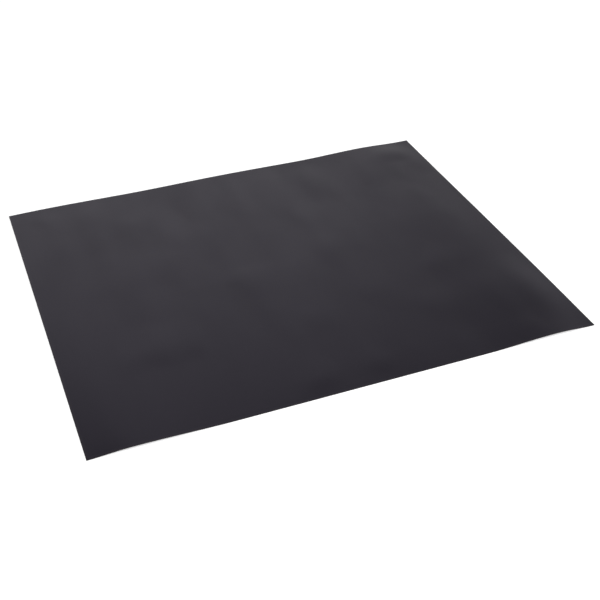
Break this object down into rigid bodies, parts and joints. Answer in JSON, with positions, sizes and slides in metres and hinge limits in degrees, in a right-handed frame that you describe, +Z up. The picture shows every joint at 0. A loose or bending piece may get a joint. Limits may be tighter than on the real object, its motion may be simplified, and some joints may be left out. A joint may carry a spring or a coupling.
{
  "type": "barbecue grill mat",
  "caption": "Thin black rectangular non-stick mat: woven glass cloth coated on both faces, laid flat on a grill's bars to cook on.",
  "frame": {"origin": "on the surface that the mat lies on, under the middle of the mat", "axes": "+X along the mat's long side, +Y across it towards the far edge, +Z up out of the cooking face"},
  "size_m": [0.4, 0.33, 0.0022],
  "materials": {
    "underside_coat": "matte black non-stick coat",
    "glass_cloth": "woven glass cloth, dark with coating",
    "cooking_coat": "satin black non-stick coat"
  },
  "bodies": {
    "root": {"bottom_coat": "underside_coat", "glass_cloth": "glass_cloth", "top_coat": "cooking_coat"}
  },
  "joints": []
}
